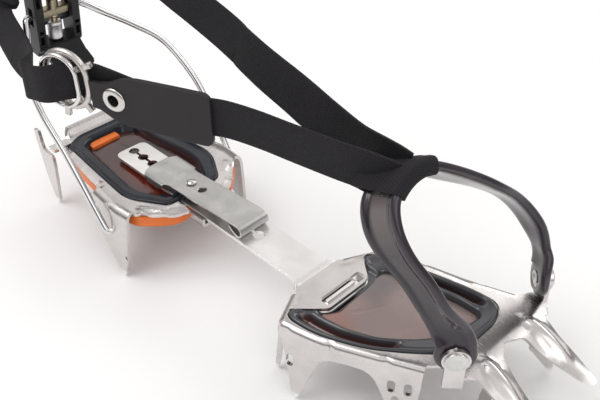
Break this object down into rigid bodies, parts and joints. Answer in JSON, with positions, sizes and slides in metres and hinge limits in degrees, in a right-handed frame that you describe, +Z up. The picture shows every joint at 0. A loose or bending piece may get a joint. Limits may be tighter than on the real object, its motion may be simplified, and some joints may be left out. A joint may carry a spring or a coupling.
{
  "type": "crampon",
  "caption": "Strap-on boot crampon with stamped steel front and heel frames, sliding centre bar, moulded toe strap, wire heel bail with adjustable lever and webbing ankle strap.",
  "frame": {"origin": "middle of the rear edge of the front frame's crossbar, on the top face that the boot sole rests on", "axes": "+X towards the toe, +Y towards the inner side of the foot, +Z up away from the snow"},
  "size_m": [0.3681, 0.1395, 0.1709],
  "materials": {
    "stamped_steel": "satin stamped stainless steel with bright edges",
    "bar_steel": "fine satin stainless strip",
    "clip_steel": "brushed spring steel",
    "bright_metal": "nickel-plated",
    "polished_wire": "polished stainless wire",
    "yellow_metal": "turned, dulled",
    "slate_plastic": "gloss slate grey moulding",
    "rose_membrane": "thin translucent rose-brown skin",
    "black_plastic": "gloss blue-black moulding",
    "maroon_membrane": "thin dark red-brown skin",
    "orange_plastic": "semi-gloss orange moulding",
    "smoke_elastomer": "glossy smoke-purple moulded elastomer",
    "lever_plastic": "satin black glass-filled plastic",
    "patch_rubber": "matt rubberised fabric",
    "webbing": "fine-ribbed charcoal webbing"
  },
  "bodies": {
    "front": {"front_frame": "stamped_steel", "front_plate_rim": "slate_plastic", "front_plate_panel": "rose_membrane", "toe_strap_ends": "smoke_elastomer", "toe_rivets": "bright_metal", "toe_washers": "bright_metal"},
    "bar": {"center_bar": "bar_steel"},
    "heel": {"rear_frame": "stamped_steel", "rear_plate_rim": "black_plastic", "rear_plate_panel": "maroon_membrane", "rear_skirt": "orange_plastic", "clip_head": "clip_steel"},
    "clip": {"clip_spring": "clip_steel", "clip_stud": "bright_metal"},
    "bail": {"heel_bail": "polished_wire", "webbing_to_buckle": "webbing", "buckle_ring": "bright_metal", "buckle_wire": "bright_metal", "buckle_patch": "patch_rubber", "patch_eyelet": "bright_metal", "webbing_tail": "webbing", "webbing_inner_rear": "webbing"},
    "carriage": {"lever_carriage": "yellow_metal"},
    "lever": {"heel_lever": "lever_plastic", "webbing_lever_loop": "webbing"},
    "barrel": {"adjust_barrel": "bright_metal"},
    "toe": {"toe_strap": "smoke_elastomer", "webbing_wrap": "webbing", "webbing_outer": "webbing", "webbing_inner_front": "webbing"}
  },
  "joints": [
    {"name": "bar_tilt", "type": "hinge", "parent": "front", "child": "bar", "pos_m": [0.0165, 0, -0.0038], "axis": [0, 1, 0], "range_deg": [-2, 2]},
    {"name": "length_adjust", "type": "slide", "parent": "bar", "child": "heel", "axis": [1, 0, 0], "range_m": [-0.04825, 0.00965]},
    {"name": "clip_lift", "type": "hinge", "parent": "heel", "child": "clip", "pos_m": [-0.112, 0, 0.0036], "axis": [0, -1, 0], "range_deg": [0, 14], "stiffness_Nm_per_rad": 2},
    {"name": "bail_swing", "type": "hinge", "parent": "heel", "child": "bail", "pos_m": [-0.1215, 0, -0.016], "axis": [0, 1, 0], "range_deg": [-20, 12]},
    {"name": "lever_flip", "type": "hinge", "parent": "bail", "child": "carriage", "pos_m": [-0.19492, 0, 0.08885], "axis": [0, 1, 0], "range_deg": [-75, 15]},
    {"name": "height_adjust", "type": "slide", "parent": "carriage", "child": "lever", "axis": [0.1736, 0, 0.9848], "range_m": [-0.003, 0.003]},
    {"name": "barrel_turn", "type": "hinge", "parent": "lever", "child": "barrel", "pos_m": [-0.19492, -0.017, 0.08885], "axis": [0.1736, 0, 0.9848], "range_deg": [-1080, 1080]},
    {"name": "toe_flex", "type": "hinge", "parent": "front", "child": "toe", "pos_m": [0.091, 0, 0.012], "axis": [0, 1, 0], "range_deg": [-25, 20], "stiffness_Nm_per_rad": 1.2}
  ],
  "couplings": [
    {"joint": "barrel_turn", "follows": "height_adjust", "rad_per_m": 6283.2}
  ]
}
